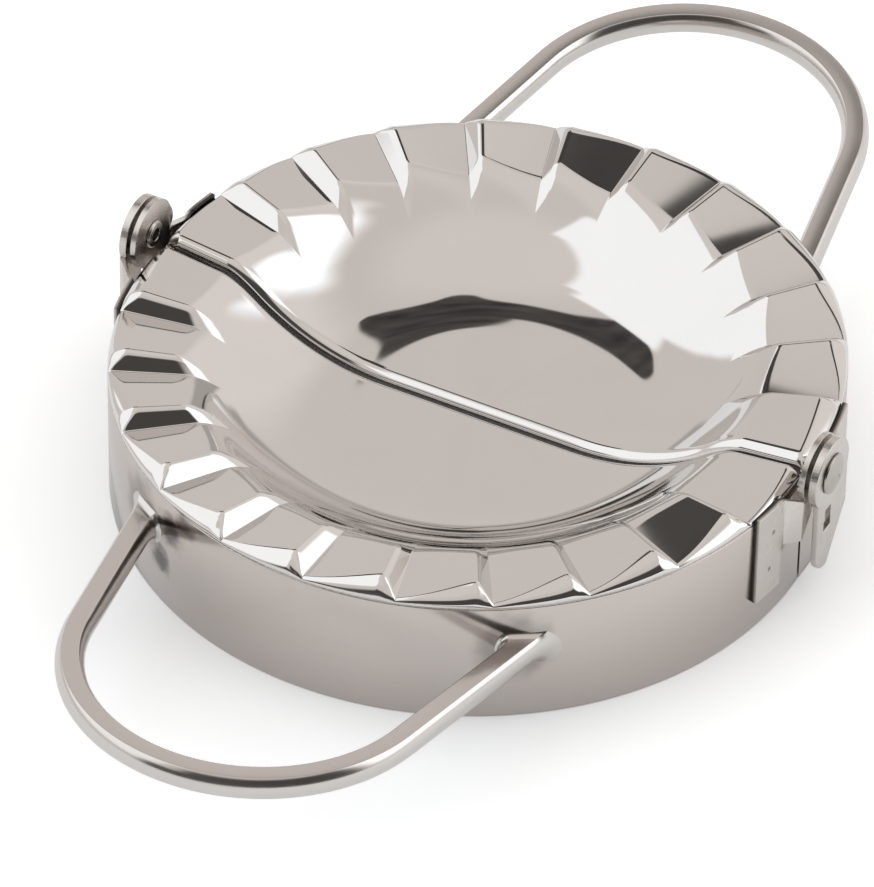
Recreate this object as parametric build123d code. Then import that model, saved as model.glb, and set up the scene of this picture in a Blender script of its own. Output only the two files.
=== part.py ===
"""Empanada press: two hinged half dishes with crimping rims, each on a cutter band with a handle.

Modelled lying open flat, in millimetres. +Z is up and z = 0 is the plane under both cutter bands.
The X axis runs along the hinge, the front half is at -Y and the rear half at +Y. The two halves are
the same pressing and weldment, turned half a turn about Z.
"""
import os
from math import acos, asin, atan2, cos, hypot, radians, sin

from build123d import *

# Cutter band: a strip of stainless steel bent round half a circle, with short straight ends
BAND_RADIUS = 47.5
BAND_THICKNESS = 0.8
BAND_HEIGHT = 18.1
ARC_OFFSET = 2.4
BAND_END_GAP = 0.3
CUTTING_BEVEL = 0.4
CUTTING_BEVEL_HEIGHT = 0.8

# Mould plate: thin sheet pressed into half a dish with a saw-tooth rim
SHEET = 0.5
BOWL_FLOOR_Z = 9.2
BOWL_FLAT_RADIUS = 14.0
BOWL_WALL_RADIUS = 30.2
BOWL_TOP_Z = 24.0
SEAM_GAP = 0.5
SEAM_ROLL_RADIUS = 1.4
FLANGE_DEPTH = 3.2
LIP_SEAT_RADIUS = BAND_RADIUS - BAND_THICKNESS - 0.2

# Saw-tooth rim: each tile climbs from a crease to a top edge, then a steep strip drops to the next
TOOTH_COUNT = 11
TOOTH_PITCH = 15.2
STRIP_ANGLE = 3.0
CREASE_INNER = (34.6, 17.7)
CREASE_OUTER = (47.1, 18.8)
TOP_INNER = (36.5, 19.6)
TOP_OUTER = (45.4, 20.9)
LIP_BULGE = 0.38
CREASE_BULGE_SHARE = 0.25
LIP_INSET_SHARE = 0.4
CREASE_LIP_Z = 18.45
TOP_LIP_Z = 18.7
SEAM_LIFT = 0.4
SEAM_RUN_SHARE = 0.2

# Solid block that the two sides of the sheet are cut from
BLOCK_FLOOR_Z = 7.0
BLOCK_CORE_RADIUS = 31.0
BLOCK_CORE_TOP_Z = 16.0
BLOCK_CORE_LAP = 1.0

# Construction blocks reach past every piece: sideways, upwards and down
PAST_SIDE = 60.0
PAST_TOP = 30.0
PAST_SEAM = 1.0

# Hinge: two leaves, a washer and a rivet at each end of the seam
PIVOT_Z = 19.95
LEAF_THICKNESS = 0.8
LEAF_DISC_RADIUS = 4.9
PAD_CLEARANCE = 0.02
AXIAL_CLEARANCE = 0.05
INNER_DISC_X = 49.1
INNER_BEND_Y = -4.9
INNER_PAD_ANGLES = (-11.8, -5.0)
OUTER_BEND_Y = 5.3
OUTER_PAD_ANGLES = (15.0, 7.5)
JOGGLE_STEP = 0.3
STRIP_MARGIN = 0.5
OUTER_CORNER_RADIUS = 3.0
OUTER_DISC_STEP = 0.3
OUTER_SLOT_Y = -0.1
OUTER_SLOT_WIDTH = 2.0
OUTER_SLOT_Z = (10.6, 14.0)
# Side outlines of the two leaves as (y, z) points; each is joined to a disc round the pivot
INNER_LEAF_OUTLINE = [
    (-16.0, 5.0),
    (-7.0, 5.0),
    (-7.0, 11.3),
    (-4.5, 11.3),
    (-1.3, 15.3),
    (0.0, PIVOT_Z),
    (-4.1, 17.6),
    (-7.4, 19.2),
    (-16.0, 19.2),
]
OUTER_LEAF_OUTLINE = [
    (-3.0, 4.2),
    (0.3, 4.2),
    (6.0, 12.4),
    (16.0, 12.4),
    (16.0, 18.8),
    (4.7, 18.8),
    (0.0, PIVOT_Z),
    (-3.0, 16.15),
]

# Spacer washer and rivet
WASHER_THICKNESS = 0.5
WASHER_RADIUS = 3.1
RIVET_RADIUS = 1.5
RIVET_HOLE_CLEARANCE = 0.05
RIVET_HEAD_RADIUS = 2.8
RIVET_HEAD_HEIGHT = 0.9
RIVET_HEAD_RIM = 0.3
RIVET_TAIL_RADIUS = 2.0
RIVET_TAIL_LENGTH = 0.4
RIVET_TAIL_FLARE = 0.25
RIVET_BORE_RADIUS = 0.9
RIVET_BORE_DEPTH = 2.4
RIVET_BORE_POINT = 0.5

# Handle: a bent bar with rounded edges, its two ends welded to the band
HANDLE_WIDTH = 3.8
HANDLE_HEIGHT = 3.3
HANDLE_EDGE = 0.9
HANDLE_ROOT_X = 26.9
HANDLE_ROOT_Y = 44.0
HANDLE_BEND_RADIUS = 23.5
HANDLE_BEND_Y = 61.9
HANDLE_ROOT_TOP_Z = 13.5
HANDLE_RISE = 4.4
HANDLE_SIDE_SHIFT = 1.0
HANDLE_BURIED = 7.0


def box_between(low, high):
    """A box from its lowest corner to its highest corner."""
    size = [b - a for a, b in zip(low, high)]
    centre = [(a + b) / 2 for a, b in zip(low, high)]
    return Pos(*centre) * Box(*size)


def dee(radius, edge_y):
    """Half disc of the rear half: an arc about (0, ARC_OFFSET), with straight sides to y = edge_y."""
    right = (radius, ARC_OFFSET)
    left = (-radius, ARC_OFFSET)
    outline = [
        Line((-radius, edge_y), (radius, edge_y)),
        Line((radius, edge_y), right),
        ThreePointArc(right, (0, ARC_OFFSET + radius), left),
        Line(left, (-radius, edge_y)),
    ]
    return make_face(Wire(outline))


def dee_block(radius, edge_y, low_z, high_z):
    """The same half disc as an upright block from low_z to high_z."""
    return extrude(Pos(0, 0, low_z) * dee(radius, edge_y), amount=high_z - low_z)


def other_half(shape):
    """The same piece on the other half of the press, half a turn about Z."""
    return Rot(0, 0, 180) * shape


def blend(crease_value, top_value, lift):
    """A value between a crease (lift 0) and a top edge (lift 1)."""
    return crease_value + (top_value - crease_value) * lift


def rim_height(radius, lift):
    """Height of the rim's upper side along a radius, for a given lift."""
    crease_slope = (CREASE_OUTER[1] - CREASE_INNER[1]) / (CREASE_OUTER[0] - CREASE_INNER[0])
    top_slope = (TOP_OUTER[1] - TOP_INNER[1]) / (TOP_OUTER[0] - TOP_INNER[0])
    crease_z = CREASE_INNER[1] + crease_slope * (radius - CREASE_INNER[0])
    top_z = TOP_INNER[1] + top_slope * (radius - TOP_INNER[0])
    return blend(crease_z, top_z, lift)


def rim_section(angle, start_y, lift, inset):
    """Closed outline of the rim in the upright plane at one angle, moved inwards by inset."""
    direction = (cos(radians(angle)), sin(radians(angle)), 0)
    normal = (direction[1], -direction[0], 0)
    plane = Plane(origin=(0, start_y, 0), x_dir=direction, z_dir=normal)
    edge_radius = blend(CREASE_OUTER[0], TOP_OUTER[0], lift) - inset
    edge = (edge_radius, rim_height(edge_radius, lift) - inset)
    lip = (BAND_RADIUS - inset, blend(CREASE_LIP_Z, TOP_LIP_Z, lift) - LIP_INSET_SHARE * inset)
    run = lip[0] - edge[0]
    drop = edge[1] - lip[1]
    bulge = LIP_BULGE * blend(CREASE_BULGE_SHARE, 1, lift) / hypot(run, drop)
    middle = ((edge[0] + lip[0]) / 2 + drop * bulge, (edge[1] + lip[1]) / 2 + run * bulge)
    floor_z = BLOCK_FLOOR_Z - inset
    core = (BLOCK_CORE_RADIUS, rim_height(BLOCK_CORE_RADIUS, lift) - inset)
    outline = [
        Line((BLOCK_CORE_RADIUS, floor_z), core),
        Line(core, edge),
        ThreePointArc(edge, middle, lip),
        Line(lip, (lip[0], floor_z)),
        Line((lip[0], floor_z), (BLOCK_CORE_RADIUS, floor_z)),
    ]
    return plane.from_local_coords(make_face(Wire(outline)))


def rim_stations():
    """Angle, start and lift of every section round the half rim, from the right seam end."""
    first_crease = 90 + STRIP_ANGLE / 2 - TOOTH_PITCH * (TOOTH_COUNT - 1) / 2
    tile_angle = TOOTH_PITCH - STRIP_ANGLE
    first_top = first_crease - STRIP_ANGLE
    arc_lift = blend(SEAM_LIFT, 1, SEAM_RUN_SHARE)
    half_lift = blend(arc_lift, 1, 0.5)
    stations = [(0, True, SEAM_LIFT), (0, False, arc_lift)]
    stations += [(first_top / 2, False, half_lift), (first_top, False, 1)]
    for tooth in range(TOOTH_COUNT - 1):
        crease = first_crease + tooth * TOOTH_PITCH
        stations += [(crease, False, 0), (crease + tile_angle / 2, False, 0.5)]
        stations += [(crease + tile_angle, False, 1)]
    last_crease = 180 - first_top
    stations += [(last_crease, False, 0), (180 - first_top / 2, False, 1 - half_lift)]
    stations += [(180, False, 1 - arc_lift), (180, True, 1 - SEAM_LIFT)]
    return stations


def rim_block(inset):
    """Ring of saw-tooth sections as one ruled solid."""
    seam_y = SEAM_GAP + inset
    sections = [
        rim_section(angle, seam_y if at_seam else ARC_OFFSET, lift, inset).wire()
        for angle, at_seam, lift in rim_stations()
    ]
    return Solid.make_loft(sections, ruled=True)


def bowl_cavity(inset):
    """The hollow of the dish: a flat floor, a round wall and an open top."""
    centre = (BOWL_FLAT_RADIUS, BOWL_FLOOR_Z + BOWL_WALL_RADIUS)
    wall_radius = BOWL_WALL_RADIUS + inset
    floor_z = BOWL_FLOOR_Z - inset
    sweep_angle = acos((centre[1] - BOWL_TOP_Z) / wall_radius)

    def wall_point(angle):
        return (centre[0] + wall_radius * sin(angle), centre[1] - wall_radius * cos(angle))

    top = wall_point(sweep_angle)
    outline = Wire([
        Line((0, floor_z), (BOWL_FLAT_RADIUS, floor_z)),
        ThreePointArc((BOWL_FLAT_RADIUS, floor_z), wall_point(sweep_angle / 2), top),
        Line(top, (0, BOWL_TOP_Z)),
        Line((0, BOWL_TOP_Z), (0, floor_z)),
    ])
    profile = make_face(Plane(origin=(0, ARC_OFFSET, 0), x_dir=(1, 0, 0), z_dir=(0, -1, 0)) * outline)
    bowl = revolve(profile, Axis((0, ARC_OFFSET, 0), (0, 0, 1)), 180)
    straight = extrude(profile + mirror(profile, Plane.YZ), amount=ARC_OFFSET, dir=(0, -1, 0))
    return bowl, straight


def dish_block(inset):
    """Solid whose upper side is the mould surface, moved inwards by inset."""
    seam_y = SEAM_GAP + inset
    core_top = BLOCK_CORE_TOP_Z
    core = dee_block(BLOCK_CORE_RADIUS + BLOCK_CORE_LAP, seam_y, BLOCK_FLOOR_Z - inset, core_top)
    block = rim_block(inset) + core
    for hollow in bowl_cavity(inset):
        block = block - hollow
    seam_face = block.faces().sort_by(Axis.Y)[0]
    upper_edges = [
        edge for edge in seam_face.edges()
        if edge.center().Z > BLOCK_FLOOR_Z and abs(edge.center().X) < BAND_RADIUS - inset - SHEET / 2
    ]
    return fillet(upper_edges, SEAM_ROLL_RADIUS - inset)


def mould_plate():
    """Pressed sheet: bowl, crimping rim, rounded outer lip and a flange turned down at the seam."""
    outer = dish_block(0)
    inner = dish_block(SHEET)
    plate = outer - inner
    below = box_between((-PAST_SIDE, -PAST_SEAM, 0), (PAST_SIDE, PAST_SIDE, BAND_HEIGHT))
    plate = plate - (below - dee_block(LIP_SEAT_RADIUS, -2 * PAST_SEAM, 0, BAND_HEIGHT))
    seam_slab = box_between((-PAST_SIDE, -PAST_SEAM, 0), (PAST_SIDE, SEAM_GAP + SHEET, PAST_TOP))
    plate = plate - (Pos(0, 0, -FLANGE_DEPTH) * outer & seam_slab)
    return plate


def cutter_band():
    """Upright strip that carries the plate; its bevelled lower edge cuts the dough disc."""
    inner_radius = BAND_RADIUS - BAND_THICKNESS
    bevel_sections = [
        dee(inner_radius + CUTTING_BEVEL, -PAST_SEAM).wire(),
        (Pos(0, 0, CUTTING_BEVEL_HEIGHT) * dee(inner_radius, -PAST_SEAM)).wire(),
    ]
    band = dee_block(BAND_RADIUS, BAND_END_GAP, 0, BAND_HEIGHT)
    band = band - dee_block(inner_radius, -PAST_SEAM, 0, BAND_HEIGHT)
    return band - Solid.make_loft(bevel_sections, ruled=True)


def handle():
    """Bar bent to a U: two legs leaning together, a round bend, and a slight rise away from the band."""
    centre = Vector(0, HANDLE_BEND_Y)
    root = Vector(HANDLE_ROOT_X, HANDLE_ROOT_Y)
    to_root = root - centre
    root_angle = atan2(to_root.Y, to_root.X)
    start = root_angle + acos(HANDLE_BEND_RADIUS / to_root.length)
    bend_start = centre + Vector(cos(start), sin(start)) * HANDLE_BEND_RADIUS
    buried = root + (root - bend_start).normalized() * HANDLE_BURIED
    left_bend_start = Vector(-bend_start.X, bend_start.Y)
    left_buried = Vector(-buried.X, buried.Y)
    bend_top = centre + Vector(0, HANDLE_BEND_RADIUS)
    path = Wire([
        Line(buried, bend_start),
        ThreePointArc(bend_start, bend_top, left_bend_start),
        Line(left_bend_start, left_buried),
    ])
    across = Plane(origin=path @ 0, x_dir=(0, 0, 1), z_dir=path % 0)
    section = across * RectangleRounded(HANDLE_HEIGHT, HANDLE_WIDTH, HANDLE_EDGE)
    bar = sweep(section, path=path)
    tilted = Pos(0, HANDLE_ROOT_Y, 0) * Rot(HANDLE_RISE, 0, 0) * Pos(0, -HANDLE_ROOT_Y, 0) * bar
    placed = Pos(-HANDLE_SIDE_SHIFT, 0, HANDLE_ROOT_TOP_Z - HANDLE_HEIGHT / 2) * tilted
    return placed - dee_block(BAND_RADIUS, 0, 0, BAND_HEIGHT)


def side_view(outline):
    """Solid over an outline drawn in the YZ plane, reaching through every leaf thickness."""
    face = Plane(origin=(0, 0, 0), x_dir=(0, 1, 0), z_dir=(1, 0, 0)) * outline
    return extrude(face, amount=PAST_SIDE, dir=(1, 0, 0))


def bent_strip(centre_y, angles, disc_x, bend_y, end_y):
    """Leaf strip seen from above: a curved pad on the band, a joggle and a flat part at disc_x."""
    inner = BAND_RADIUS + PAD_CLEARANCE
    outer = inner + LEAF_THICKNESS

    def on_band(radius, angle):
        return (radius * cos(radians(angle)), centre_y + radius * sin(radians(angle)))

    far, near = angles
    middle = (far + near) / 2
    flat_outer = disc_x + LEAF_THICKNESS
    step = JOGGLE_STEP if end_y > bend_y else -JOGGLE_STEP
    outline = [
        ThreePointArc(on_band(inner, far), on_band(inner, middle), on_band(inner, near)),
        Line(on_band(inner, near), (disc_x, bend_y + step)),
        Line((disc_x, bend_y + step), (disc_x, end_y)),
        Line((disc_x, end_y), (flat_outer, end_y)),
        Line((flat_outer, end_y), (flat_outer, bend_y)),
        Line((flat_outer, bend_y), on_band(outer, near)),
        ThreePointArc(on_band(outer, near), on_band(outer, middle), on_band(outer, far)),
        Line(on_band(outer, far), on_band(inner, far)),
    ]
    return extrude(make_face(Wire(outline)), amount=PAST_TOP)


def pivot_hole(leaf):
    """Drill the running hole for the rivet through a leaf."""
    drill = Cylinder(RIVET_RADIUS + RIVET_HOLE_CLEARANCE, 2 * PAST_SIDE, rotation=(0, 90, 0))
    return leaf - Pos(0, 0, PIVOT_Z) * drill


def leaf_disc():
    """Outline of the round end of a leaf, about the pivot."""
    return Pos(0, PIVOT_Z) * Circle(LEAF_DISC_RADIUS)


def inner_leaf():
    """Right-hand leaf of the front half: pad, stepped neck and the inner of the two discs."""
    end_y = LEAF_DISC_RADIUS + STRIP_MARGIN
    strip = bent_strip(-ARC_OFFSET, INNER_PAD_ANGLES, INNER_DISC_X, INNER_BEND_Y, end_y)
    body = make_face(Polyline(*INNER_LEAF_OUTLINE, close=True))
    return pivot_hole(strip & side_view(body + leaf_disc()))


def outer_leaf():
    """Right-hand leaf of the rear half: tall pad, body with a relief slot and the outer disc."""
    disc_x = INNER_DISC_X + LEAF_THICKNESS + WASHER_THICKNESS + 2 * AXIAL_CLEARANCE
    end_y = LEAF_DISC_RADIUS + STRIP_MARGIN
    strip = bent_strip(ARC_OFFSET, OUTER_PAD_ANGLES, disc_x, OUTER_BEND_Y, -end_y)
    body = make_face(Polyline(*OUTER_LEAF_OUTLINE, close=True))
    near_corner = body.vertices().group_by(Axis.Y)[0].sort_by(Axis.X)[0]
    body = fillet(near_corner, OUTER_CORNER_RADIUS)
    slot_low, slot_high = OUTER_SLOT_Z
    slot = Rectangle(OUTER_SLOT_WIDTH, slot_high - slot_low)
    slot = Pos(OUTER_SLOT_Y, (slot_low + slot_high) / 2) * slot
    leaf = strip & side_view(body + leaf_disc() - slot)
    raised_x = disc_x + LEAF_THICKNESS + OUTER_DISC_STEP
    raised = side_view(leaf_disc()) & box_between((disc_x, -end_y, 0), (raised_x, end_y, 2 * PIVOT_Z))
    return pivot_hole(leaf + raised)


def turned(outline):
    """Part turned about the hinge axis at the right end, from (distance along X, radius) curves."""
    plane = Plane(origin=(0, 0, PIVOT_Z), x_dir=(1, 0, 0), z_dir=(0, -1, 0))
    return revolve(plane * make_face(outline), Axis((0, 0, PIVOT_Z), (1, 0, 0)), 360)


def washer():
    """Flat spacer washer between the two discs."""
    low = INNER_DISC_X + LEAF_THICKNESS + AXIAL_CLEARANCE
    high = low + WASHER_THICKNESS
    bore = RIVET_RADIUS + RIVET_HOLE_CLEARANCE
    corners = [(low, bore), (high, bore), (high, WASHER_RADIUS), (low, WASHER_RADIUS)]
    return turned(Polyline(*corners, close=True))


def rivet():
    """Hinge rivet: domed head outside, shank through both discs, flared hollow tail inside."""
    stack = 2 * LEAF_THICKNESS + OUTER_DISC_STEP + WASHER_THICKNESS + 3 * AXIAL_CLEARANCE
    head_x = INNER_DISC_X + stack
    tail_x = INNER_DISC_X - AXIAL_CLEARANCE
    end_x = tail_x - RIVET_TAIL_LENGTH
    bore_end = end_x + RIVET_BORE_DEPTH
    rim_x = head_x + RIVET_HEAD_RIM
    dome_height = RIVET_HEAD_HEIGHT - RIVET_HEAD_RIM
    dome_radius = (dome_height ** 2 + RIVET_HEAD_RADIUS ** 2) / (2 * dome_height)
    dome_x = rim_x + dome_height - dome_radius
    half_angle = asin(RIVET_HEAD_RADIUS / dome_radius) / 2
    dome_middle = (dome_x + dome_radius * cos(half_angle), dome_radius * sin(half_angle))
    top = (rim_x + dome_height, 0)
    corners = Polyline(
        top,
        (bore_end, 0),
        (bore_end - RIVET_BORE_POINT, RIVET_BORE_RADIUS),
        (end_x, RIVET_BORE_RADIUS),
        (end_x, RIVET_TAIL_RADIUS - RIVET_TAIL_FLARE),
        (tail_x, RIVET_TAIL_RADIUS),
        (tail_x, RIVET_RADIUS),
        (head_x, RIVET_RADIUS),
        (head_x, RIVET_HEAD_RADIUS),
        (rim_x, RIVET_HEAD_RADIUS),
    )
    dome = ThreePointArc((rim_x, RIVET_HEAD_RADIUS), dome_middle, top)
    return turned(corners + dome)


def all_parts():
    """Every piece by name, in place on the open press."""
    plate = mould_plate()
    band = cutter_band()
    bar = handle()
    inner = inner_leaf()
    outer = outer_leaf()
    spacer = washer()
    pin = rivet()
    return {
        "rear_mould_plate": plate,
        "front_mould_plate": other_half(plate),
        "rear_cutter_band": band,
        "front_cutter_band": other_half(band),
        "rear_handle": bar,
        "front_handle": other_half(bar),
        "front_inner_hinge_leaf": inner,
        "rear_inner_hinge_leaf": other_half(inner),
        "rear_outer_hinge_leaf": outer,
        "front_outer_hinge_leaf": other_half(outer),
        "right_spacer_washer": spacer,
        "left_spacer_washer": other_half(spacer),
        "right_rivet": pin,
        "left_rivet": other_half(pin),
    }


if __name__ == "__main__":
    os.makedirs("parts", exist_ok=True)
    for name, shape in all_parts().items():
        export_step(shape, f"parts/{name}.step")
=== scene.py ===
"""Empanada press lying open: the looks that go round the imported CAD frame.

Sections follow the press as it is put together: camera and studio first, then the pressed mould plates,
the cutter bands, the handles, the hinge leaves, the washers and the rivets. Sizes in the sections are in
millimetres and become metres where a mesh is placed.
"""
import math

import bmesh
import bpy
from mathutils import Matrix, Vector


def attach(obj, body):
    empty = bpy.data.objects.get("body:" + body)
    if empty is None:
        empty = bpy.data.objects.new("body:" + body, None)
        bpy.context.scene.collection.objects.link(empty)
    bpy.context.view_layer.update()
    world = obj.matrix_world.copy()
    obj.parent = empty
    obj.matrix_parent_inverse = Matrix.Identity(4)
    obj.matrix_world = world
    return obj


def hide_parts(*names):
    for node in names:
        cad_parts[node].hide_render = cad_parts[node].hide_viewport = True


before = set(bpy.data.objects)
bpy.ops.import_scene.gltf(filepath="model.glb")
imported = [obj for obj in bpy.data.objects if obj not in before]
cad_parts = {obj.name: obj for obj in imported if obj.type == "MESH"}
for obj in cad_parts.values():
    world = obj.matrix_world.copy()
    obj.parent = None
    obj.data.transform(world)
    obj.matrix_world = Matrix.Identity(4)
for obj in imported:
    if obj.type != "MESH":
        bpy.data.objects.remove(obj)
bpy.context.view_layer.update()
scene = bpy.context.scene
scene.view_settings.view_transform = "Standard"
MM = 0.001

# ---------------------------------------------------------------------------------------------
# Camera
# The photograph was taken with a long lens, from the right of the front handle and looking down.
# ---------------------------------------------------------------------------------------------
CAMERA_AZIMUTH = math.radians(27.53)
CAMERA_ELEVATION = math.radians(40.48)
CAMERA_ROLL = math.radians(1.01)
CAMERA_DISTANCE = 1066.78 * MM
CAMERA_TRACK = (-5.26 * MM, 2.62 * MM)
CAMERA_LENS = 326.24
SENSOR_WIDTH = 36.0

back = Vector((
    math.sin(CAMERA_AZIMUTH) * math.cos(CAMERA_ELEVATION),
    -math.cos(CAMERA_AZIMUTH) * math.cos(CAMERA_ELEVATION),
    math.sin(CAMERA_ELEVATION),
))
level_right = Vector((math.cos(CAMERA_AZIMUTH), math.sin(CAMERA_AZIMUTH), 0))
level_up = back.cross(level_right)
image_right = level_right * math.cos(CAMERA_ROLL) + level_up * math.sin(CAMERA_ROLL)
image_up = level_up * math.cos(CAMERA_ROLL) - level_right * math.sin(CAMERA_ROLL)
eye = back * CAMERA_DISTANCE + level_right * CAMERA_TRACK[0] + level_up * CAMERA_TRACK[1]

lens = bpy.data.cameras.new("studio_camera")
lens.lens = CAMERA_LENS
lens.sensor_width = SENSOR_WIDTH
lens.clip_start = 0.05
lens.clip_end = 20.0
camera = bpy.data.objects.new("studio_camera", lens)
camera.matrix_world = Matrix((
    (image_right.x, image_up.x, back.x, eye.x),
    (image_right.y, image_up.y, back.y, eye.y),
    (image_right.z, image_up.z, back.z, eye.z),
    (0, 0, 0, 1),
))
scene.collection.objects.link(camera)
scene.camera = camera

# ---------------------------------------------------------------------------------------------
# Studio
# A white sweep of floor in a pale room. The room is what the polished steel mirrors: large white
# diffusers, a few dark openings between them and a dark beam across.
# ---------------------------------------------------------------------------------------------
# The floor glows a little where the camera sees it, more towards the right, and the steel mirrors a
# share of that glow. It is shaded where the press stands over it.
FLOOR_SIZE = 6.0
FLOOR_DROP = 0.1 * MM
FLOOR_COLOUR = (0.90, 0.925, 0.94, 1)
FLOOR_GLOW = 0.45
FLOOR_GLOW_RIGHT = 0.20
FLOOR_GLOW_RIGHT_FROM = 30 * MM
FLOOR_GLOW_RIGHT_TO = 160 * MM
FLOOR_MIRRORED = 0.45
SHADE_REACH = 30 * MM
SHADE_SOFTNESS = 0.7
ROOM_COLOUR = (1.041, 0.975, 0.929, 1)
WINDOW_COLOUR = (0.985, 1.0, 1.015, 1)


def nodes_of(owner):
    """The emptied node tree of a material or world."""
    owner.use_nodes = True
    tree = owner.node_tree
    tree.nodes.clear()
    return tree


def add_node(tree, kind, inputs=None, **settings):
    """A new node: settings are its properties, inputs its unlinked values or the sockets linked in."""
    node = tree.nodes.new(kind)
    for name, value in settings.items():
        setattr(node, name, value)
    for name, value in (inputs or {}).items():
        socket = node.inputs[name]
        if isinstance(value, bpy.types.NodeSocket):
            tree.links.new(value, socket)
        else:
            socket.default_value = value
    return node


def calculate(tree, operation, first, second=0.0, third=None):
    """The value of one Math node."""
    inputs = {0: first, 1: second}
    if third is not None:
        inputs[2] = third
    return add_node(tree, "ShaderNodeMath", inputs, operation=operation).outputs[0]


# The room as seen from the press. Azimuth 0 is +Y and 90 is +X; a panel is its azimuth and elevation,
# half width and half height, softness of the edge, lean (rise per degree sideways) and brightness.
ROOM_BRIGHTNESS = 0.72
ROOM_PANELS = [
    (0, 90, 190, 24, 16, 0.0, 0.79),
    (20, 24, 20, 26, 16, 0.0, 0.86),
    (-112, 41, 42, 29, 3, 0.0, 1.24),
    (-75, 55, 13, 11.5, 3, 0.0, 1.24),
    (62, 29, 25, 22, 12, 0.0, 1.75),
    (142, 20, 50, 28, 8, 0.0, 0.07),
    (-172, 8, 24, 16, 8, 0.0, 0.09),
    (-24, 0, 28, 9, 3, 0.0, 0.45),
]

# A dark beam that crosses the room ahead, as (azimuth, lower edge, upper edge)
DARK_BEAM = [
    (-62, 46, 56), (-57, 41.5, 57.5), (-52, 39.5, 58.5), (-47, 44, 59), (-42, 48.5, 60), (-35, 51, 61.5),
    (-30, 51.5, 62.5), (-26, 43.5, 64), (-22, 43.5, 66), (-17, 47, 66), (-12, 49.5, 62.5), (-6, 51, 60),
    (-1, 52, 58.5), (4, 54, 56),
]
DARK_BEAM_LEVEL = 0.065
DARK_BEAM_EDGE = 1.2
BEAM_STREAK_SCALE = 0.07
BEAM_STREAK_STRETCH = 6

room = bpy.data.worlds.new("studio_room")
scene.world = room
tree = nodes_of(room)
looking = add_node(tree, "ShaderNodeSeparateXYZ", {
    0: add_node(tree, "ShaderNodeTexCoord").outputs["Generated"],
}).outputs
azimuth = calculate(tree, "DEGREES", calculate(tree, "ARCTAN2", looking["X"], looking["Y"]))
elevation = calculate(tree, "DEGREES", calculate(tree, "ARCSINE", looking["Z"]))
brightness = ROOM_BRIGHTNESS
for across, up, half_width, half_height, softness, lean, level in ROOM_PANELS:
    sideways = calculate(tree, "WRAP", calculate(tree, "SUBTRACT", azimuth, across), 180.0, -180.0)
    upward = calculate(tree, "SUBTRACT", elevation, calculate(tree, "MULTIPLY_ADD", sideways, lean, up))
    inside = 1.0
    for angle, half in ((sideways, half_width), (upward, half_height)):
        edge = add_node(tree, "ShaderNodeMapRange", {
            "Value": calculate(tree, "ABSOLUTE", angle),
            "From Min": half + softness / 2,
            "From Max": half - softness / 2,
        }, interpolation_type="SMOOTHSTEP").outputs["Result"]
        inside = calculate(tree, "MULTIPLY", inside, edge)
    brightness = add_node(tree, "ShaderNodeMix", {
        "Factor": inside,
        "A": brightness,
        "B": level,
    }, data_type="FLOAT").outputs[0]

beam = 1.0
for edge, side in ((1, 1), (2, -1)):
    height = add_node(tree, "ShaderNodeFloatCurve", {
        "Value": calculate(tree, "MULTIPLY_ADD", azimuth, 1 / 360, 0.5),
    })
    bends = height.mapping.curves[0].points
    for _ in range(len(DARK_BEAM) - 2):
        bends.new(0.5, 0.5)
    for bend, row in zip(bends, DARK_BEAM):
        bend.location = (row[0] / 360 + 0.5, row[edge] / 90)
    height.mapping.update()
    beyond = calculate(tree, "SUBTRACT", elevation, calculate(tree, "MULTIPLY", height.outputs[0], 90))
    reach = add_node(tree, "ShaderNodeMapRange", {
        "Value": calculate(tree, "MULTIPLY", beyond, side),
        "From Min": -DARK_BEAM_EDGE / 2,
        "From Max": DARK_BEAM_EDGE / 2,
    }, interpolation_type="SMOOTHSTEP").outputs["Result"]
    beam = calculate(tree, "MULTIPLY", beam, reach)
for sign, limit in ((1, DARK_BEAM[0][0]), (-1, DARK_BEAM[-1][0])):
    beam = calculate(tree, "MULTIPLY", beam, calculate(
        tree, "GREATER_THAN", calculate(tree, "MULTIPLY", azimuth, sign), limit * sign,
    ))
along_beam = add_node(tree, "ShaderNodeCombineXYZ", {
    0: azimuth, 1: calculate(tree, "MULTIPLY", elevation, BEAM_STREAK_STRETCH),
}).outputs[0]
streaks = add_node(tree, "ShaderNodeTexNoise", {
    "Vector": along_beam, "Scale": BEAM_STREAK_SCALE, "Detail": 2.0,
}).outputs["Fac"]
brightness = add_node(tree, "ShaderNodeMix", {
    "Factor": beam,
    "A": brightness,
    "B": calculate(tree, "MULTIPLY", streaks, DARK_BEAM_LEVEL * 2),
}, data_type="FLOAT").outputs[0]
tint = add_node(tree, "ShaderNodeMix", {
    0: calculate(tree, "GREATER_THAN", brightness, 1.0),
    6: ROOM_COLOUR,
    7: WINDOW_COLOUR,
}, data_type="RGBA").outputs[2]
glow = add_node(tree, "ShaderNodeBackground", {"Color": tint, "Strength": brightness})
tree.links.new(glow.outputs[0], add_node(tree, "ShaderNodeOutputWorld").inputs["Surface"])

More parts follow.
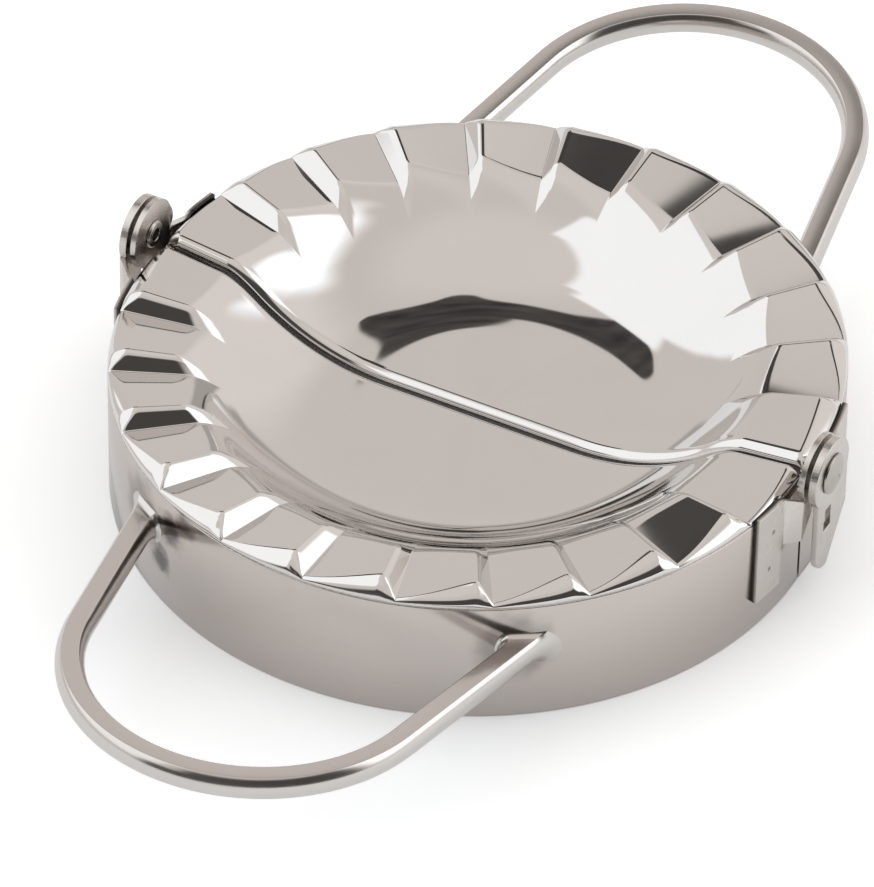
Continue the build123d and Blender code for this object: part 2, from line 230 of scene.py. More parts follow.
floor_paper = bpy.data.materials.new("floor_paper")
tree = nodes_of(floor_paper)
matt = add_node(tree, "ShaderNodeBsdfDiffuse", {"Color": FLOOR_COLOUR})
rays = add_node(tree, "ShaderNodeLightPath")
seen = calculate(
    tree, "MULTIPLY_ADD", rays.outputs["Is Glossy Ray"], FLOOR_MIRRORED, rays.outputs["Is Camera Ray"],
)
place = add_node(tree, "ShaderNodeSeparateXYZ", {0: add_node(tree, "ShaderNodeTexCoord").outputs["Object"]})
right_side = add_node(tree, "ShaderNodeMapRange", {
    "Value": place.outputs["X"],
    "From Min": FLOOR_GLOW_RIGHT_FROM,
    "From Max": FLOOR_GLOW_RIGHT_TO,
    "To Min": FLOOR_GLOW,
    "To Max": FLOOR_GLOW + FLOOR_GLOW_RIGHT,
}, interpolation_type="SMOOTHSTEP").outputs["Result"]
open_air = add_node(tree, "ShaderNodeAmbientOcclusion", {"Distance": SHADE_REACH}, samples=8).outputs["AO"]
shaded = calculate(tree, "MULTIPLY", right_side, calculate(tree, "POWER", open_air, SHADE_SOFTNESS))
lit = add_node(tree, "ShaderNodeEmission", {
    "Color": (1, 1, 1, 1),
    "Strength": calculate(tree, "MULTIPLY", seen, shaded),
})
both = add_node(tree, "ShaderNodeAddShader", {0: matt.outputs[0], 1: lit.outputs[0]})
tree.links.new(both.outputs[0], add_node(tree, "ShaderNodeOutputMaterial").inputs["Surface"])

sheet_mesh = bpy.data.meshes.new("studio_floor")
shape = bmesh.new()
bmesh.ops.create_grid(shape, x_segments=1, y_segments=1, size=FLOOR_SIZE / 2)
bmesh.ops.translate(shape, verts=shape.verts, vec=(0, 0, -FLOOR_DROP))
shape.to_mesh(sheet_mesh)
shape.free()
floor = bpy.data.objects.new("studio_floor", sheet_mesh)
sheet_mesh.materials.append(floor_paper)
scene.collection.objects.link(floor)


# ---------------------------------------------------------------------------------------------
# Mould plates
# Each half dish is 0.5 mm stainless sheet, pressed in one stroke and mirror-polished: a bowl, a rim of
# saw teeth that crimp the dough, a lip turned down on to the band and an edge rolled along the seam.
# ---------------------------------------------------------------------------------------------
ARC_OFFSET = 2.4
SEAM_GAP = 0.5
BAND_RADIUS = 47.5
BAND_HEIGHT = 18.1
SHEET = 0.5
BOWL_FLOOR_Z = 9.2
BOWL_FLAT_RADIUS = 14.0
BOWL_WALL_RADIUS = 30.2

# The saw teeth: each climbs on a long tile from a crease to a top edge, and drops down a steep strip.
# Angles run round the arc in degrees, and a lift of 0 to 1 says how far the rim has risen.
TOOTH_COUNT = 11
TOOTH_PITCH = 15.2
STRIP_ANGLE = 2.45
TILE_ANGLE = TOOTH_PITCH - STRIP_ANGLE
FIRST_CREASE = 90 + STRIP_ANGLE / 2 - TOOTH_PITCH * (TOOTH_COUNT - 1) / 2
FIRST_TOP = FIRST_CREASE - STRIP_ANGLE
TOP_ROUNDING = 1.5
TILE_HOLLOW = 0.015
SEAM_LIFT = 0.4
FIRST_TILE_LIFT = 0.52
CREASE_INNER = (34.6, 17.7)
CREASE_OUTER = (47.1, 18.8)
TOP_INNER = (36.5, 19.6)
TOP_OUTER = (45.4, 20.9)
CREASE_LIP_Z = 18.45
TOP_LIP_Z = 18.7
TILE_FOLD = 1.8
STRIP_FOLD = 2.5
SEAM_ROLL_RADIUS = 1.4
SEAM_FLANGE_DEPTH = 3.2
MERGE_GAP = 0.002 * MM

# The lip turns down on a curve that starts before the face's outer edge, sooner on a tooth's top than in a
# crease. It swells out there and then drops to the band. In the zone over the band it never dips below
# the band's top.
LIP_START = 0.25
LIP_START_TOP = 0.35
LIP_SWELL_TOP = 0.1
LIP_DROP_SHARE = 0.45
LIP_INSET = 0.03
LIP_ZONE = 0.9


def tooth_lift(angle):
    """The rim's lift at an angle: 0 in a crease, 1 where a tile and a strip would meet in a sharp top.

    Top edges are rounded as sheet bends over a punch, the creases stay sharp and the tiles are very
    slightly hollow.
    """
    first_climb = 1 - FIRST_TILE_LIFT
    if angle < FIRST_TOP - TOP_ROUNDING / 2:
        return FIRST_TILE_LIFT + first_climb * angle / FIRST_TOP
    if angle >= 180 - FIRST_TOP:
        return first_climb * (angle - 180 + FIRST_TOP) / FIRST_TOP
    past_top = (angle - FIRST_TOP + TOOTH_PITCH / 2) % TOOTH_PITCH - TOOTH_PITCH / 2
    rise = first_climb / FIRST_TOP if angle < FIRST_CREASE else 1 / TILE_ANGLE
    fall = 1 / STRIP_ANGLE
    if past_top > STRIP_ANGLE:
        share = (past_top - STRIP_ANGLE) / TILE_ANGLE
        return share - 4 * TILE_HOLLOW * share * (1 - share)
    if past_top > TOP_ROUNDING / 2:
        return 1 - past_top * fall
    if past_top < -TOP_ROUNDING / 2:
        share = 1 + past_top * rise
        return share - (4 * TILE_HOLLOW * share * (1 - share) if angle > FIRST_CREASE else 0)
    return 1 + past_top * rise - (rise + fall) * (past_top + TOP_ROUNDING / 2) ** 2 / (2 * TOP_ROUNDING)


def fold_width(angle):
    """How wide the fold into the bowl is at an angle: the strips' ends are rounder than the tiles'."""
    phase = (angle - FIRST_CREASE) % TOOTH_PITCH / TILE_ANGLE
    if phase > 1:
        return STRIP_FOLD
    return TILE_FOLD + (STRIP_FOLD - TILE_FOLD) * (2 * phase - 1) ** 2


def rim_height(radius, lift):
    """Height of the tooth's face along a radius."""
    crease_slope = (CREASE_OUTER[1] - CREASE_INNER[1]) / (CREASE_OUTER[0] - CREASE_INNER[0])
    top_slope = (TOP_OUTER[1] - TOP_INNER[1]) / (TOP_OUTER[0] - TOP_INNER[0])
    crease_z = CREASE_INNER[1] + crease_slope * (radius - CREASE_INNER[0])
    top_z = TOP_INNER[1] + top_slope * (radius - TOP_INNER[0])
    return crease_z + (top_z - crease_z) * lift


def bowl_height(radius):
    """Height of the bowl: a flat floor and a round wall."""
    if radius <= BOWL_FLAT_RADIUS:
        return BOWL_FLOOR_Z
    reach = min(radius - BOWL_FLAT_RADIUS, BOWL_WALL_RADIUS * 0.999)
    return BOWL_FLOOR_Z + BOWL_WALL_RADIUS - math.sqrt(BOWL_WALL_RADIUS ** 2 - reach ** 2)


def face_height(radius, lift, fold):
    """Bowl and tooth faces joined with a rounded fold."""
    bowl, rim = bowl_height(radius), rim_height(radius, lift)
    overlap = max(fold - abs(bowl - rim), 0) / fold
    return min(bowl, rim) - overlap ** 2 * fold / 4


def bezier(points, t):
    """A point on a cubic curve."""
    weights = ((1 - t) ** 3, 3 * t * (1 - t) ** 2, 3 * t ** 2 * (1 - t), t ** 3)
    return [sum(w * p[axis] for w, p in zip(weights, points)) for axis in (0, 1)]


# Rows of the blank from the middle of the bowl outwards: wide in the bowl, close over the fold into the
# teeth, then the tooth faces and the lip. The columns crowd at the creases and the strips.
BOWL_ROWS = [i * 1.5 for i in range(1, 21)]
FOLD_ROWS = [30.5 + i * 0.25 for i in range(37)]
FACE_ROWS = 14
LIP_ROWS = 12
TILE_SHARES = (
    0, 0.015, 0.05, 0.12, 0.22, 0.34, 0.46, 0.58, 0.68, 0.76, 0.82, 0.87, 0.91, 0.94, 0.955, 0.97, 0.985,
)
STRIP_SHARES = (0, 0.06, 0.12, 0.18, 0.24, 0.3, 0.36, 0.42, 0.5, 0.6, 0.7, 0.8, 0.9, 0.96)
SEAM_MARGIN = 0.3
ROLL_STEPS = 8


def section_point(row, lift, fold):
    """(radius, height) of one row of the sheet, counted from the middle of the bowl to the lip."""
    if row == 0:
        return 0.0, BOWL_FLOOR_Z
    row -= 1
    if row < len(BOWL_ROWS):
        return BOWL_ROWS[row], face_height(BOWL_ROWS[row], lift, fold)
    row -= len(BOWL_ROWS)
    if row < len(FOLD_ROWS):
        return FOLD_ROWS[row], face_height(FOLD_ROWS[row], lift, fold)
    row -= len(FOLD_ROWS)
    swell = lift * lift * (3 - 2 * lift)
    edge = CREASE_OUTER[0] + (TOP_OUTER[0] - CREASE_OUTER[0]) * swell
    turn = edge - LIP_START - LIP_START_TOP * lift
    if row < FACE_ROWS:
        start = FOLD_ROWS[-1]
        radius = start + (turn - start) * (row + 1) / FACE_ROWS
        return radius, face_height(radius, lift, fold)
    row -= FACE_ROWS
    outside = BAND_RADIUS - LIP_INSET
    lip_z = CREASE_LIP_Z + (TOP_LIP_Z - CREASE_LIP_Z) * lift
    edge_z = face_height(edge, lift, fold)
    curve = [
        (turn, face_height(turn, lift, fold)),
        (edge + LIP_SWELL_TOP * lift, edge_z),
        (outside, lip_z + LIP_DROP_SHARE * (edge_z - lip_z)),
        (outside, lip_z),
    ]
    if row < LIP_ROWS:
        return bezier(curve, (row + 1) / LIP_ROWS)
    return outside, BAND_HEIGHT


def sheet_columns():
    """Columns from one seam edge round to the other: (angle, shift along Y, drop)."""
    straight = ARC_OFFSET - SEAM_GAP - SEAM_ROLL_RADIUS
    roll = [(-straight - SEAM_ROLL_RADIUS, SEAM_FLANGE_DEPTH)]
    for step in range(ROLL_STEPS + 1):
        turn = math.radians(90 - 90 * step / ROLL_STEPS)
        shift = -straight - SEAM_ROLL_RADIUS * math.sin(turn)
        roll.append((shift, SEAM_ROLL_RADIUS * (1 - math.cos(turn))))
    roll.append((-straight / 2, 0.0))
    angles = []
    for tooth in range(-1, TOOTH_COUNT):
        crease = FIRST_CREASE + tooth * TOOTH_PITCH
        angles += [crease + TILE_ANGLE * share for share in TILE_SHARES]
        angles += [crease + TILE_ANGLE + STRIP_ANGLE * share for share in STRIP_SHARES]
    angles = {round(angle, 4) for angle in angles if SEAM_MARGIN < angle < 180 - SEAM_MARGIN}
    columns = [(0.0, shift, drop) for shift, drop in roll]
    columns += [(angle, 0.0, 0.0) for angle in sorted(angles | {0.0, 180.0})]
    columns += [(180.0, shift, drop) for shift, drop in reversed(roll)]
    return columns


def piece_from(shape, name, sharp_angle=None):
    """A smooth-shaded piece from a bmesh. Edges over the angle, in degrees, stay sharp."""
    for face in shape.faces:
        face.smooth = True
    mesh = bpy.data.meshes.new(name)
    shape.to_mesh(mesh)
    shape.free()
    if sharp_angle:
        mesh.set_sharp_from_angle(angle=math.radians(sharp_angle))
    piece = bpy.data.objects.new(name, mesh)
    scene.collection.objects.link(piece)
    return piece


def pressed_half_dish(name):
    """The rear half's mould plate as one sheet: a flat blank drawn into shape, then given thickness."""
    columns = sheet_columns()
    rows = 1 + len(BOWL_ROWS) + len(FOLD_ROWS) + FACE_ROWS + LIP_ROWS + 1
    blank = bmesh.new()
    bmesh.ops.create_grid(blank, x_segments=len(columns) - 1, y_segments=rows - 1, size=1)
    for vert in blank.verts:
        column = round((vert.co.x + 1) / 2 * (len(columns) - 1))
        row = round((vert.co.y + 1) / 2 * (rows - 1))
        angle, shift, drop = columns[column]
        at_seam = -shift / (ARC_OFFSET - SEAM_GAP)
        lift = tooth_lift(angle)
        seam_lift = SEAM_LIFT if angle < 90 else 1 - SEAM_LIFT
        lift += (seam_lift - lift) * at_seam
        radius, height = section_point(row, lift, fold_width(angle))
        height -= drop
        if radius > BAND_RADIUS - LIP_ZONE:
            height = max(height, BAND_HEIGHT)
        turn = math.radians(angle)
        forward = ARC_OFFSET + shift + radius * math.sin(turn)
        vert.co = Vector((radius * math.cos(turn), forward, height)) * MM
    bmesh.ops.remove_doubles(blank, verts=blank.verts, dist=MERGE_GAP)
    bmesh.ops.recalc_face_normals(blank, faces=blank.faces)
    if sum(face.normal.z for face in blank.faces) < 0:
        bmesh.ops.reverse_faces(blank, faces=blank.faces)
    piece = piece_from(blank, name)
    wall = piece.modifiers.new("sheet_thickness", "SOLIDIFY")
    wall.thickness = SHEET * MM
    wall.offset = -1
    return piece


def turn_half(piece):
    """Places a piece of the rear half on the front half: half a turn about Z."""
    piece.data.transform(Matrix.Rotation(math.pi, 4, "Z"))


GRAIN_SCALE = 1000.0
GRAIN_IN_COLOUR = 0.35
GRAIN_IN_GLOSS = 0.25
GRAIN_HEIGHT = 0.02
LEAST_ROUGHNESS = 0.03
STAIN_RAGGEDNESS = 1.4


def start_group(name, inputs, outputs):
    """A shader node group with named sockets: the group, what it is given and what it gives back."""
    group = bpy.data.node_groups.new(name, "ShaderNodeTree")
    for label, kind, default in inputs:
        socket = group.interface.new_socket(name=label, in_out="INPUT", socket_type=kind)
        if default is not None:
            socket.default_value = default
    for label, kind in outputs:
        group.interface.new_socket(name=label, in_out="OUTPUT", socket_type=kind)
    return group, group.nodes.new("NodeGroupInput").outputs, group.nodes.new("NodeGroupOutput").inputs


def dimmed(tree, colour, shade):
    """A colour times a shade."""
    return add_node(tree, "ShaderNodeVectorMath", {0: colour, 1: shade}, operation="MULTIPLY").outputs[0]


def steel_finish_group():
    """Cloudiness, fine grain and small changes of gloss, which every steel of the press has."""
    group, given, result = start_group("steel finish", (
        ("Place", "NodeSocketVector", None),
        ("Colour", "NodeSocketColor", (0.6, 0.6, 0.6, 1)),
        ("Cloud size", "NodeSocketFloat", 60.0),
        ("Cloud depth", "NodeSocketFloat", 0.05),
        ("Gloss loss", "NodeSocketFloat", 0.2),
        ("Gloss spread", "NodeSocketFloat", 0.05),
        ("Grain stretch", "NodeSocketVector", (1, 1, 1)),
        ("Grain depth", "NodeSocketFloat", 0.3),
    ), (
        ("Colour", "NodeSocketColor"),
        ("Roughness", "NodeSocketFloat"),
        ("Height", "NodeSocketFloat"),
    ))
    cloud = add_node(group, "ShaderNodeTexNoise", {
        "Vector": given["Place"], "Scale": given["Cloud size"], "Detail": 3.0, "Roughness": 0.55,
    }).outputs["Fac"]
    cloud = calculate(group, "SUBTRACT", cloud, 0.5)
    stretched = add_node(group, "ShaderNodeVectorMath", {
        0: given["Place"], 1: given["Grain stretch"],
    }, operation="MULTIPLY").outputs[0]
    grain = add_node(group, "ShaderNodeTexNoise", {
        "Vector": stretched, "Scale": GRAIN_SCALE, "Detail": 4.0, "Roughness": 0.6,
    }).outputs["Fac"]
    grain = calculate(group, "SUBTRACT", grain, 0.5)
    shade = calculate(group, "MULTIPLY_ADD", cloud, given["Cloud depth"], 1.0)
    in_colour = calculate(group, "MULTIPLY", given["Grain depth"], GRAIN_IN_COLOUR)
    shade = calculate(group, "MULTIPLY_ADD", grain, in_colour, shade)
    gloss = calculate(group, "MULTIPLY_ADD", cloud, given["Gloss spread"], given["Gloss loss"])
    in_gloss = calculate(group, "MULTIPLY", given["Grain depth"], GRAIN_IN_GLOSS)
    gloss = calculate(group, "MULTIPLY_ADD", grain, in_gloss, gloss)
    gloss = calculate(group, "MAXIMUM", gloss, LEAST_ROUGHNESS)
    group.links.new(dimmed(group, given["Colour"], shade), result["Colour"])
    group.links.new(gloss, result["Roughness"])
    group.links.new(calculate(group, "MULTIPLY", grain, given["Grain depth"]), result["Height"])
    return group


def stain_and_shade_group():
    """A ragged dark spot round a point, used both for spot weld pits and for painted shade."""
    group, given, result = start_group("stain_and_shade", (
        ("Place", "NodeSocketVector", None),
        ("Colour", "NodeSocketColor", (0.6, 0.6, 0.6, 1)),
        ("Middle", "NodeSocketVector", None),
        ("Inner radius", "NodeSocketFloat", 0.001),
        ("Outer radius", "NodeSocketFloat", 0.003),
        ("Light left", "NodeSocketFloat", 0.5),
    ), (
        ("Colour", "NodeSocketColor"),
    ))
    outer = given["Outer radius"]
    ragged = add_node(group, "ShaderNodeTexNoise", {
        "Vector": given["Place"], "Scale": calculate(group, "DIVIDE", STAIN_RAGGEDNESS, outer),
    }).outputs["Fac"]
    gap = add_node(group, "ShaderNodeVectorMath", {
        0: given["Place"], 1: given["Middle"],
    }, operation="DISTANCE").outputs["Value"]
    shade = add_node(group, "ShaderNodeMapRange", {
        "Value": calculate(group, "MULTIPLY_ADD", ragged, outer, gap),
        "From Min": calculate(group, "MULTIPLY_ADD", outer, 0.5, given["Inner radius"]),
        "From Max": calculate(group, "MULTIPLY", outer, 1.5),
        "To Min": given["Light left"],
        "To Max": 1.0,
    }, interpolation_type="SMOOTHSTEP").outputs["Result"]
    group.links.new(dimmed(group, given["Colour"], shade), result["Colour"])
    return group


steel_finish = steel_finish_group()
stain_and_shade = stain_and_shade_group()


def steel_material(name, bump, round_grain=False, stains_and_shades=(), painted_gap_shade=None, **finish):
    """A metal whose colour, gloss and grain come from the shared finish; finish holds its values.

    Round grain runs round the press instead of straight. A dark spot is (place, inner radius, outer
    radius, share of light left): on the hinge leaves a spot weld's pit, on the band painted shade and
    dark reflection. One with a negative coordinate is there once, the others lie in all four quarters of
    the press. A painted gap shade (inner radius, outer radius, share of light left) darkens the steel next
    to the band, in place of the shadow in the gap.
    """
    material = bpy.data.materials.new(name)
    tree = nodes_of(material)
    place = add_node(tree, "ShaderNodeTexCoord").outputs["Object"]
    along_grain = place
    quarter = add_node(tree, "ShaderNodeVectorMath", {0: place}, operation="ABSOLUTE").outputs[0]
    if round_grain:
        split = add_node(tree, "ShaderNodeSeparateXYZ", {0: place})
        sideways, forward, height = split.outputs
        angle = calculate(tree, "ARCTAN2", sideways, forward)
        along = calculate(tree, "MULTIPLY", angle, BAND_RADIUS * MM)
        squares = calculate(tree, "MULTIPLY", forward, forward)
        squares = calculate(tree, "MULTIPLY_ADD", sideways, sideways, squares)
        radius = calculate(tree, "SQRT", squares)
        along_grain = add_node(tree, "ShaderNodeCombineXYZ", {0: along, 1: radius, 2: height}).outputs[0]
    group = add_node(tree, "ShaderNodeGroup", node_tree=steel_finish)
    tree.links.new(along_grain, group.inputs["Place"])
    for socket, value in finish.items():
        group.inputs[socket.replace("_", " ").capitalize()].default_value = value
    colour = group.outputs["Colour"]
    # Dark spots: spot weld pits, and painted shade and dark reflection on the band.
    for middle, inner, outer, left in stains_and_shades:
        spot = add_node(tree, "ShaderNodeGroup", node_tree=stain_and_shade)
        tree.links.new(quarter if min(middle) >= 0 else place, spot.inputs["Place"])
        tree.links.new(colour, spot.inputs["Colour"])
        spot.inputs["Middle"].default_value = Vector(middle) * MM
        spot.inputs["Inner radius"].default_value = inner * MM
        spot.inputs["Outer radius"].default_value = outer * MM
        spot.inputs["Light left"].default_value = left
        colour = spot.outputs["Colour"]
    # Painted shade: the steel darkens next to the band, standing in for the shadow in the gap.
    if painted_gap_shade:
        from_axis = add_node(tree, "ShaderNodeVectorMath", {
            0: quarter, 1: Vector((0, ARC_OFFSET, 0)) * MM,
        }, operation="SUBTRACT").outputs[0]
        level = dimmed(tree, from_axis, (1, 1, 0))
        radius = add_node(tree, "ShaderNodeVectorMath", {0: level}, operation="LENGTH").outputs["Value"]
        shade = add_node(tree, "ShaderNodeMapRange", {
            "Value": radius,
            "From Min": painted_gap_shade[0] * MM,
            "From Max": painted_gap_shade[1] * MM,
            "To Min": painted_gap_shade[2],
            "To Max": 1.0,
        }).outputs["Result"]
        colour = dimmed(tree, colour, shade)
    steel = add_node(tree, "ShaderNodeBsdfPrincipled", {
        "Base Color": colour,
        "Metallic": 1.0,
        "Roughness": group.outputs["Roughness"],
    })
    relief = add_node(tree, "ShaderNodeBump", {
        "Height": group.outputs["Height"], "Strength": bump, "Distance": GRAIN_HEIGHT * MM,
    })
    tree.links.new(relief.outputs["Normal"], steel.inputs["Normal"])
    tree.links.new(steel.outputs[0], add_node(tree, "ShaderNodeOutputMaterial").inputs["Surface"])
    return material


polished_sheet = steel_material(
    "polished_sheet", bump=0.03, round_grain=True, colour=(0.72, 0.705, 0.69, 1), cloud_size=45.0,
    cloud_depth=0.06, gloss_loss=0.05, gloss_spread=0.035, grain_stretch=(0.05, 1.2, 1.2), grain_depth=0.05,
)
for half in ("rear", "front"):
    plate = pressed_half_dish(f"{half}_pressed_plate")
    if half == "front":
        turn_half(plate)
    plate.data.materials.append(polished_sheet)
    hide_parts(f"{half}_mould_plate")
    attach(plate, f"{half}_half")

# ---------------------------------------------------------------------------------------------
# Cutter bands
# A strip of 0.8 mm stainless steel, rolled round half a circle with a short straight run at each
# end. Its polish runs along the strip, and the lower edge is bevelled on the inside to cut dough.
# ---------------------------------------------------------------------------------------------
BAND_THICKNESS = 0.8
CUTTING_BEVEL = 0.4
CUTTING_BEVEL_HEIGHT = 0.8
BAND_STEPS = 180
EDGE_ROUNDING = 0.12
BAND_END_GAP = 0.3
SHARP_ANGLE = 50

# Painted shade and dark reflection on the band: a faint dark patch round each handle root, and a darker one
# beside one root of the front handle
PAINTED_ROOT_SHADE = [
    ((26.9, 41.6, 11.9), 2.6, 6.5, 0.62),
    ((-23.2, -44.0, 7.4), 0.8, 2.8, 0.25),
    ((-21.0, -45.1, 13.6), 0.8, 3.6, 0.3),
    ((-18.2, -46.3, 16.4), 0.6, 2.6, 0.4),
]

# The band's dark patches round the handle roots are painted shade and dark reflection.
satin_band = steel_material(
    "satin_band", stains_and_shades=PAINTED_ROOT_SHADE, bump=0.25, round_grain=True, colour=(0.60, 0.55, 0.52, 1),
    cloud_size=18.0, cloud_depth=0.12, gloss_loss=0.17, gloss_spread=0.08, grain_stretch=(0.03, 1.0, 2.0),
    grain_depth=0.12,
)


def rolled_band(name):
    """The strip's section, spun round the half circle, with a straight run pulled out at both ends."""
    inside = BAND_RADIUS - BAND_THICKNESS
    section = [
        (BAND_RADIUS, 0.0),
        (BAND_RADIUS, BAND_HEIGHT),
        (inside, BAND_HEIGHT),
        (inside, CUTTING_BEVEL_HEIGHT),
        (inside + CUTTING_BEVEL, 0.0),
    ]
    strip = bmesh.new()
    corners = [strip.verts.new(Vector((radius, ARC_OFFSET, height)) * MM) for radius, height in section]
    face = strip.faces.new(corners)
    bmesh.ops.bevel(
        strip, geom=list(face.verts), affect="VERTICES", offset=EDGE_ROUNDING * MM, segments=2, profile=0.5,
        material=-1,
    )
    start = list(strip.faces)
    spun = bmesh.ops.spin(
        strip, geom=start, cent=(0, ARC_OFFSET * MM, 0), axis=(0, 0, 1), angle=math.pi, steps=BAND_STEPS,
    )
    ends = [start[0]] + [part for part in spun["geom_last"] if isinstance(part, bmesh.types.BMFace)]
    for end in ends:
        pulled = bmesh.ops.extrude_discrete_faces(strip, faces=[end])["faces"]
        bmesh.ops.translate(strip, verts=pulled[0].verts, vec=(0, (BAND_END_GAP - ARC_OFFSET) * MM, 0))
    bmesh.ops.remove_doubles(strip, verts=strip.verts, dist=MERGE_GAP)
    bmesh.ops.recalc_face_normals(strip, faces=strip.faces)
    return piece_from(strip, name, SHARP_ANGLE)


for half in ("rear", "front"):
    band = rolled_band(f"{half}_rolled_band")
    if half == "front":
        turn_half(band)
    band.data.materials.append(satin_band)
    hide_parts(f"{half}_cutter_band")
    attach(band, f"{half}_half")

# ---------------------------------------------------------------------------------------------
# Handles
# A stainless bar with rounded edges, bent to a U in a jig. It leans up a little from the band, and
# its two ends are cut to the band's curve and welded on. Tumbling gave it a satin skin.
# ---------------------------------------------------------------------------------------------
HANDLE_WIDTH = 3.8
HANDLE_HEIGHT = 3.3
HANDLE_CREST = 1.05
HANDLE_CREST_EDGE = 0.2
HANDLE_SHOULDER_TURN = 45
HANDLE_KEEL = 0.95
HANDLE_ROOT = Vector((26.9, 44.0, 0.0))
HANDLE_BEND_RADIUS = 23.5
HANDLE_BEND_Y = 61.9
HANDLE_ROOT_TOP_Z = 13.5
HANDLE_RISE = 4.4
HANDLE_SIDE_SHIFT = 1.0
HANDLE_STEPS = 96
HANDLE_SINK = 0.15
CREST_STEPS = 4
DOME_STEPS = 7
KEEL_STEPS = 6

# Fillet weld at each end, as (distance from the band, swelling of the bar's section) pairs
WELD_RINGS = [
    (4.5, 1.0), (2.2, 1.0), (1.5, 1.05), (1.0, 1.13), (0.6, 1.25), (0.3, 1.42), (0.1, 1.62), (0.0, 1.8),
]

satin_bar = steel_material(
    "satin_bar", bump=0.2, colour=(0.66, 0.63, 0.605, 1), cloud_size=60.0, cloud_depth=0.12,
    gloss_loss=0.20, gloss_spread=0.12, grain_stretch=(0.8, 0.8, 0.8), grain_depth=0.12,
)


def bar_side():
    """One side of the bar's section from its flat top to its flat bottom, as (across, up) points."""
    top, widest = HANDLE_HEIGHT / 2, HANDLE_WIDTH / 2
    turn = math.radians(HANDLE_SHOULDER_TURN)
    points = []
    for step in range(CREST_STEPS + 1):
        angle = math.pi / 2 + (turn - math.pi / 2) * step / CREST_STEPS
        points.append((
            HANDLE_CREST + HANDLE_CREST_EDGE * math.cos(angle),
            top - HANDLE_CREST_EDGE * (1 - math.sin(angle)),
        ))
    shoulder_x, shoulder_z = points[-1]
    swing = (widest - shoulder_x) / (1 - math.cos(turn))
    for step in range(1, DOME_STEPS + 1):
        angle = turn * (1 - step / DOME_STEPS)
        points.append((
            shoulder_x + swing * (math.cos(angle) - math.cos(turn)),
            shoulder_z + swing * (math.sin(angle) - math.sin(turn)),
        ))
    belly_z = points[-1][1]
    for step in range(1, KEEL_STEPS + 1):
        angle = math.pi / 2 * step / KEEL_STEPS
        points.append((
            widest - HANDLE_KEEL * (1 - math.cos(angle)),
            belly_z - (top + belly_z) * math.sin(angle),
        ))
    return points


def bent_handle(name):
    """The bar's section, spun round the bend, with both legs drawn straight back to the band."""
    centre = Vector((0, HANDLE_BEND_Y, 0))
    to_root = HANDLE_ROOT - centre
    start = math.atan2(to_root.y, to_root.x) + math.acos(HANDLE_BEND_RADIUS / to_root.length)
    outward = Vector((math.cos(start), math.sin(start), 0))
    bar = bmesh.new()
    side = bar_side()
    outline = side + [(-across, up) for across, up in reversed(side)]
    bar.faces.new([bar.verts.new(Vector((across, up, 0)) * MM) for across, up in outline])
    upright = Matrix((
        (outward.x, 0, outward.y, 0),
        (outward.y, 0, -outward.x, 0),
        (0, 1, 0, 0),
        (0, 0, 0, 1),
    ))
    bmesh.ops.transform(bar, matrix=upright, verts=bar.verts)
    bmesh.ops.translate(bar, verts=bar.verts, vec=(centre + outward * HANDLE_BEND_RADIUS) * MM)
    first = list(bar.faces)
    spun = bmesh.ops.spin(
        bar, geom=first, cent=centre * MM, axis=(0, 0, 1), angle=math.pi - 2 * start, steps=HANDLE_STEPS,
    )
    last = [part for part in spun["geom_last"] if isinstance(part, bmesh.types.BMFace)]
    pivot = Vector((-HANDLE_SIDE_SHIFT, HANDLE_ROOT.y, HANDLE_ROOT_TOP_Z - HANDLE_HEIGHT / 2))
    tilt = (
        Matrix.Translation(pivot * MM)
        @ Matrix.Rotation(math.radians(HANDLE_RISE), 4, "X")
        @ Matrix.Translation(Vector((0, -HANDLE_ROOT.y, 0)) * MM)
    )
    legs = []
    for end, hand in ((first, 1), (last, -1)):
        root = Vector((HANDLE_ROOT.x * hand, HANDLE_ROOT.y, 0))
        bend = centre + Vector((outward.x * hand, outward.y, 0)) * HANDLE_BEND_RADIUS
        legs.append((end[0], (root - bend).normalized()))
    bmesh.ops.transform(bar, matrix=tilt, verts=bar.verts)
    for end, heading in legs:
        heading = (tilt.to_3x3() @ heading).normalized()
        corners = [vert.co.copy() for vert in end.verts]
        middle = sum(corners, Vector()) / len(corners)
        for gap, swell in WELD_RINGS:
            end = bmesh.ops.extrude_discrete_faces(bar, faces=[end])["faces"][0]
            reach = (BAND_RADIUS - HANDLE_SINK + gap) * MM
            for vert, corner in zip(end.verts, corners):
                start = middle + (corner - middle) * swell
                x, y = start.x, start.y - ARC_OFFSET * MM
                across = x * heading.x + y * heading.y
                flat = heading.x ** 2 + heading.y ** 2
                beyond = x * x + y * y - reach * reach
                vert.co = start - heading * (across + math.sqrt(across * across - flat * beyond)) / flat
    bmesh.ops.remove_doubles(bar, verts=bar.verts, dist=MERGE_GAP)
    bmesh.ops.recalc_face_normals(bar, faces=bar.faces)
    return piece_from(bar, name, SHARP_ANGLE)


for half in ("rear", "front"):
    handle = bent_handle(f"{half}_bent_handle")
    if half == "front":
        turn_half(handle)
    handle.data.materials.append(satin_bar)
    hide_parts(f"{half}_handle")
    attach(handle, f"{half}_half")

# ---------------------------------------------------------------------------------------------
# Hinge leaves
# Stampings of 0.8 mm stainless strip, spot-welded to the bands. The inner ones have a stepped neck,
# the outer ones a tall tab with a relief slot. Their skin is a little rougher than the plates'.
# ---------------------------------------------------------------------------------------------
LEAF_EDGE = 0.12
LEAF_MERGE_GAP = 0.004
LEAF_FACET_ANGLE = 1.0
LEAF_SHARP_ANGLE = 35
LEAF_ROUNDED_ANGLE = 40

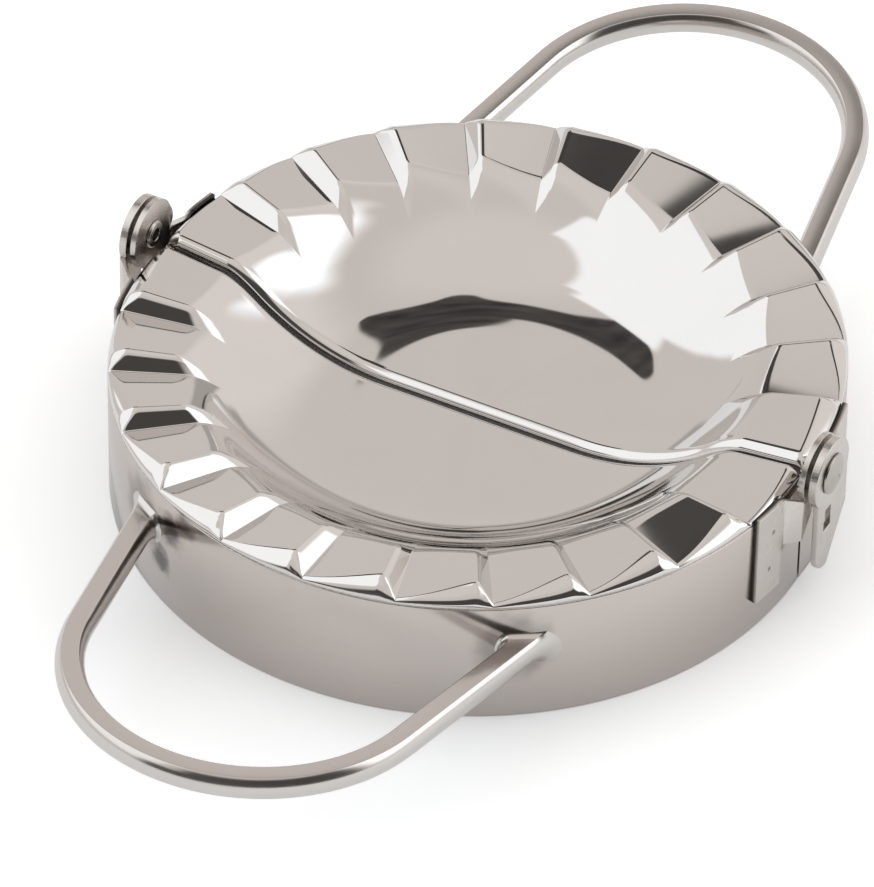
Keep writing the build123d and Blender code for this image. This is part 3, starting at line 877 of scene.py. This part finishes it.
# Two spot welds hold each pad, and each left a small dark pit. Painted shade darkens the pad next to the
# band, in place of the shadow in the gap between them.
SPOT_WELDS = [((47.84, 9.03, 15.2), 0.15, 0.5, 0.35), ((47.75, 9.68, 9.35), 0.15, 0.5, 0.35)]
PAD_PAINTED_GAP_SHADE = (47.8, 48.15, 0.1)

hinge_leaf = steel_material(
    "hinge_leaf", stains_and_shades=SPOT_WELDS, painted_gap_shade=PAD_PAINTED_GAP_SHADE, bump=0.3, colour=(0.66, 0.625, 0.59, 1),
    cloud_size=140.0, cloud_depth=0.3, gloss_loss=0.27, gloss_spread=0.2, grain_stretch=(0.5, 0.5, 1.4),
    grain_depth=0.2,
)


def softened_copy(node, name):
    """A copy of a CAD node with its facets merged and its stamped edges slightly rounded."""
    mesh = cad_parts[node].data.copy()
    mesh.name = name
    shell = bmesh.new()
    shell.from_mesh(mesh)
    bmesh.ops.remove_doubles(shell, verts=shell.verts, dist=LEAF_MERGE_GAP * MM)
    bmesh.ops.dissolve_limit(
        shell, angle_limit=math.radians(LEAF_FACET_ANGLE), verts=shell.verts, edges=shell.edges,
    )
    for face in shell.faces:
        face.smooth = True
    shell.to_mesh(mesh)
    shell.free()
    mesh.materials.clear()
    mesh.set_sharp_from_angle(angle=math.radians(LEAF_SHARP_ANGLE))
    piece = bpy.data.objects.new(name, mesh)
    scene.collection.objects.link(piece)
    rounding = piece.modifiers.new("stamped_edges", "BEVEL")
    rounding.width = LEAF_EDGE * MM
    rounding.segments = 2
    rounding.limit_method = "ANGLE"
    rounding.angle_limit = math.radians(LEAF_ROUNDED_ANGLE)
    rounding.harden_normals = True
    return piece


for half in ("rear", "front"):
    for place in ("inner", "outer"):
        leaf = softened_copy(f"{half}_{place}_hinge_leaf", f"{half}_{place}_leaf")
        leaf.data.materials.append(hinge_leaf)
        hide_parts(f"{half}_{place}_hinge_leaf")
        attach(leaf, f"{half}_half")

# ---------------------------------------------------------------------------------------------
# Spacer washers
# Plain stamped washers that keep the two discs of each hinge apart. They are dull, and their dark colour is
# painted shade for the shadow in the gap between the discs.
# ---------------------------------------------------------------------------------------------
dull_washer_painted_shade = steel_material(
    "dull_washer_painted_shade", bump=0.3, colour=(0.30, 0.28, 0.26, 1), cloud_size=200.0, cloud_depth=0.4,
    gloss_loss=0.42, gloss_spread=0.2, grain_stretch=(0.6, 0.6, 0.6), grain_depth=0.3,
)
for side in ("right", "left"):
    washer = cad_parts[f"{side}_spacer_washer"]
    washer.data.materials.clear()
    washer.data.materials.append(dull_washer_painted_shade)

# ---------------------------------------------------------------------------------------------
# Rivets
# One solid rivet holds each hinge: a low domed head outside and a flared hollow tail inside.
# ---------------------------------------------------------------------------------------------
set_rivet = steel_material(
    "set_rivet", bump=0.25, colour=(0.50, 0.47, 0.44, 1), cloud_size=220.0, cloud_depth=0.25,
    gloss_loss=0.24, gloss_spread=0.15, grain_stretch=(0.9, 0.9, 0.9), grain_depth=0.15,
)
for side in ("right", "left"):
    rivet = softened_copy(f"{side}_rivet", f"{side}_set_rivet")
    rivet.data.materials.append(set_rivet)
    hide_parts(f"{side}_rivet")
    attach(rivet, "front_half")

bpy.context.view_layer.update()
